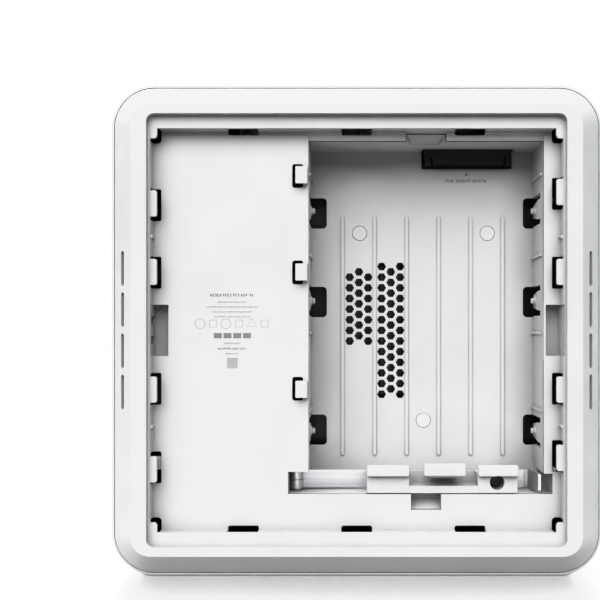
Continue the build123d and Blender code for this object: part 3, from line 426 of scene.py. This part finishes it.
def oblong(x, z, w, h):
    return [(x - w / 2, z - h / 2), (x + w / 2, z - h / 2), (x + w / 2, z + h / 2), (x - w / 2, z + h / 2)]


def polygon(x, z, radius, sides, turn=0.0):
    steps = [turn + 2 * math.pi * i / sides for i in range(sides)]
    return [(x + radius * math.cos(a), z + radius * math.sin(a)) for a in steps]


# ---- printing on the plate and in the bay, as stroke signs and plain shapes ----

INK_T = 0.03 * MM
MARK_LINE = 0.3 * MM
LABEL_X, LABEL_TOP = -54.9 * MM, MID_Z + 15.6 * MM


def stroke_sign(bm, y, x, z, width, height, line, rng):
    """One meaningless sign of two or three strokes."""
    upright = rng.choice((-0.5, 0.5))
    add_prism(bm, oblong(x + upright * (width - line), z, line, height), y - INK_T, y)
    for level in rng.sample((-0.5, 0.0, 0.5), 2):
        add_prism(bm, oblong(x, z + level * (height - line), width, line), y - INK_T, y)


def ink_row(bm, y, x, z, width, height, rng, weight=0.22):
    """One row of print as words of small stroke signs, centred on x."""
    step = 0.86 * height
    left, right = x - width / 2, x + width / 2
    while left < right - step:
        for _ in range(rng.randint(3, 7)):
            if left > right - step:
                break
            stroke_sign(bm, y, left + step * 0.36, z, step * 0.70, height, weight * height, rng)
            left += step
        left += 0.6 * step


def ring(bm, outline_out, outline_in, y):
    """Flat band between two outlines with the same number of points."""
    count = len(outline_out)
    y0 = y - INK_T
    rings = []
    for outline, depth in ((outline_out, y0), (outline_in, y0), (outline_in, y), (outline_out, y)):
        rings.append([bm.verts.new((px, depth, pz)) for px, pz in outline])
    for k in range(4):
        a, b = rings[k], rings[(k + 1) % 4]
        for i in range(count):
            j = (i + 1) % count
            bm.faces.new((a[i], a[j], b[j], b[i]))


def make_label(materials):
    rng = random.Random(7)
    dark, pale = bmesh.new(), bmesh.new()
    z = LABEL_TOP
    ink_row(dark, PLATE_Y, LABEL_X, z, 19.5 * MM, 1.15 * MM, rng)
    for i, width in enumerate((13.0, 22.5, 18.0, 16.0)):
        ink_row(pale, PLATE_Y, LABEL_X, z - (3.1 + 2.15 * i) * MM, width * MM, 0.62 * MM, rng)
    # row of plain outline marks
    mark_z = z - 12.6 * MM
    for i in range(6):
        x = LABEL_X + (i - 2.5) * 5.7 * MM
        sides = (24, 4, 24, 4, 3, 4)[i]
        turn = math.pi / 4 if sides == 4 else math.pi / 2
        size = 2.35 * MM if sides != 3 else 2.6 * MM
        outer = polygon(x, mark_z, size, sides, turn)
        inner = polygon(x, mark_z, size - MARK_LINE, sides, turn)
        ring(pale, outer, inner, PLATE_Y)
    # four bold bars, three short rows and a block of squares
    for i in range(4):
        x = LABEL_X + (i - 1.5) * 4.3 * MM
        add_prism(dark, oblong(x, z - 17.9 * MM, 3.5 * MM, 2.3 * MM), PLATE_Y - INK_T, PLATE_Y)
    ink_row(pale, PLATE_Y, LABEL_X, z - 21.3 * MM, 7.0 * MM, 0.7 * MM, rng)
    ink_row(dark, PLATE_Y, LABEL_X, z - 23.6 * MM, 13.0 * MM, 0.8 * MM, rng)
    ink_row(pale, PLATE_Y, LABEL_X, z - 25.9 * MM, 6.0 * MM, 0.7 * MM, rng)
    cell = 0.52 * MM
    for row in range(9):
        for column in range(9):
            if (row + column) % 2 == 0:
                x = LABEL_X + (column - 4) * cell
                spot = oblong(x, z - 30.0 * MM + (4 - row) * cell, cell * 0.96, cell * 0.96)
                add_prism(dark, spot, PLATE_Y - INK_T, PLATE_Y)
    new_piece("label_print_dark", finish_mesh("label_print_dark", dark), materials["ink_grey"])
    new_piece("label_print_pale", finish_mesh("label_print_pale", pale), materials["ink_pale"])


def make_bay_note(materials):
    """Small arrowhead and a row of stroke signs below the connector."""
    rng = random.Random(3)
    bm = bmesh.new()
    x = 51.5 * MM
    add_prism(bm, polygon(x, MID_Z + 73.2 * MM, 0.9 * MM, 3, math.pi / 2), FLOOR_Y - INK_T, FLOOR_Y)
    ink_row(bm, FLOOR_Y, x, MID_Z + 70.2 * MM, 19.5 * MM, 1.2 * MM, rng)
    new_piece("bay_print", finish_mesh("bay_print", bm), materials["ink_grey"])


# ---- stage ----

FLOOR_ROUGH, FLOOR_GLOSS, FLOOR_BOUNCE = 0.38, 0.94, 0.29
BOUNCE_NEAR, BOUNCE_FAR = 0.18, 0.40
BOUNCE_LEFT = 0.02
FILL = 0.5
ROOM_DARK = 0.08
KEY_DISTANCE = 2.6
KEY_UP, KEY_LEFT = math.radians(40), math.radians(10)
KEY_SIZE = (4.2, 2.4)
KEY_POWER = 130.0
WHITE_LEVEL = 3.0
TONE = ((0.06, 0.025), (0.18, 0.095), (0.35, 0.225), (0.55, 0.44), (0.75, 0.71), (0.90, 0.870),
        (1.10, 0.905), (1.40, 0.920))
BACK_LIGHT_AT = Vector((-0.6, 1.5, 1.1))
BACK_SIZE = (1.0, 1.0)
BACK_POWER = 30.0


def area_light(name, place, aim, size, power):
    data = bpy.data.lights.new(name, "AREA")
    data.shape = "RECTANGLE"
    data.size, data.size_y = size
    data.energy = power
    lamp = bpy.data.objects.new(name, data)
    lamp.location = place
    lamp.rotation_euler = (Vector(aim) - Vector(place)).to_track_quat("-Z", "Y").to_euler()
    bpy.context.scene.collection.objects.link(lamp)


def map_range(tree, start, stop, low, high):
    node = tree.nodes.new("ShaderNodeMapRange")
    for socket, value in (("From Min", start), ("From Max", stop), ("To Min", low), ("To Max", high)):
        node.inputs[socket].default_value = value
    return node


def make_floor():
    """White glossy floor, partly glowing: it mirrors the object softly and sends little light back up."""
    bm = bmesh.new()
    add_prism(bm, oblong(0, -0.005, 12.0, 0.01), -6.0, 6.0)
    floor = bpy.data.objects.new("floor", finish_mesh("floor", bm))
    bpy.context.scene.collection.objects.link(floor)
    material = bpy.data.materials.new("floor_white")
    material.use_nodes = True
    tree = material.node_tree
    tree.nodes.clear()
    out = tree.nodes.new("ShaderNodeOutputMaterial")
    path = tree.nodes.new("ShaderNodeLightPath")
    glow = tree.nodes.new("ShaderNodeEmission")
    glow.inputs["Strength"].default_value = WHITE_LEVEL
    gloss = tree.nodes.new("ShaderNodeBsdfGlossy")
    gloss.inputs["Color"].default_value = (1, 1, 1, 1)
    gloss.inputs["Roughness"].default_value = FLOOR_ROUGH
    matt = tree.nodes.new("ShaderNodeBsdfDiffuse")
    # the floor sends light back up only close to the object
    coords = tree.nodes.new("ShaderNodeTexCoord")
    away = tree.nodes.new("ShaderNodeVectorMath")
    away.operation = "LENGTH"
    tree.links.new(coords.outputs["Object"], away.inputs[0])
    bounce = map_range(tree, BOUNCE_NEAR, BOUNCE_FAR, FLOOR_BOUNCE, BOUNCE_LEFT)
    tree.links.new(away.outputs["Value"], bounce.inputs["Value"])
    tree.links.new(bounce.outputs["Result"], matt.inputs["Color"])
    seen = tree.nodes.new("ShaderNodeMixShader")
    seen.inputs["Fac"].default_value = FLOOR_GLOSS
    tree.links.new(glow.outputs[0], seen.inputs[1])
    tree.links.new(gloss.outputs[0], seen.inputs[2])
    both = tree.nodes.new("ShaderNodeMixShader")
    tree.links.new(path.outputs["Is Diffuse Ray"], both.inputs["Fac"])
    tree.links.new(seen.outputs[0], both.inputs[1])
    tree.links.new(matt.outputs[0], both.inputs[2])
    tree.links.new(both.outputs[0], out.inputs["Surface"])
    floor.data.materials.append(material)


def make_world():
    """White surroundings to look at and to mirror, with a soft fill from behind."""
    world = bpy.data.worlds.new("studio")
    world.use_nodes = True
    tree = world.node_tree
    sky = tree.nodes["Background"]
    path = tree.nodes.new("ShaderNodeLightPath")
    coords = tree.nodes.new("ShaderNodeTexCoord")
    parts = tree.nodes.new("ShaderNodeSeparateXYZ")
    tree.links.new(coords.outputs["Generated"], parts.inputs[0])
    # the room in front of the object is dark, the room behind it is white
    room = map_range(tree, -0.6, -0.1, ROOM_DARK, WHITE_LEVEL)
    tree.links.new(parts.outputs["Y"], room.inputs["Value"])
    mirrored = tree.nodes.new("ShaderNodeMapRange")
    mirrored.inputs["To Min"].default_value = WHITE_LEVEL
    tree.links.new(path.outputs["Is Glossy Ray"], mirrored.inputs["Value"])
    tree.links.new(room.outputs["Result"], mirrored.inputs["To Max"])
    strength = tree.nodes.new("ShaderNodeMapRange")
    # the fill comes from behind, so it reaches the back and sides and leaves the open side alone
    rear = map_range(tree, 0.0, 0.6, 0.0, FILL)
    tree.links.new(parts.outputs["Y"], rear.inputs["Value"])
    tree.links.new(rear.outputs["Result"], strength.inputs["To Max"])
    tree.links.new(path.outputs["Is Diffuse Ray"], strength.inputs["Value"])
    tree.links.new(mirrored.outputs["Result"], strength.inputs["To Min"])
    tree.links.new(strength.outputs["Result"], sky.inputs["Strength"])
    sky.inputs["Color"].default_value = (1, 1, 1, 1)
    bpy.context.scene.world = world


def set_tones():
    """Film-like response: deeper shadows, light tones kept apart, surroundings at full white."""
    view = bpy.context.scene.view_settings
    view.view_transform = "Standard"
    view.use_curve_mapping = True
    mapping = view.curve_mapping
    mapping.white_level = (WHITE_LEVEL, WHITE_LEVEL, WHITE_LEVEL)
    curve = mapping.curves[3]
    for light, shown in TONE:
        curve.points.new(light / WHITE_LEVEL, shown)
    for point in curve.points:
        point.handle_type = "VECTOR"
    mapping.update()


def make_stage():
    make_floor()
    make_world()
    centre = Vector((MID_X, RIM_Y, MID_Z))
    level = KEY_DISTANCE * math.cos(KEY_UP)
    height = KEY_DISTANCE * math.sin(KEY_UP)
    offset = Vector((-level * math.sin(KEY_LEFT), -level * math.cos(KEY_LEFT), height))
    area_light("key", centre + offset, centre, KEY_SIZE, KEY_POWER)
    area_light("back", centre + BACK_LIGHT_AT, centre, BACK_SIZE, BACK_POWER)
    set_tones()


make_camera()
MATERIALS = make_materials()
dress_nodes(MATERIALS)
make_label(MATERIALS)
make_bay_note(MATERIALS)
make_stage()
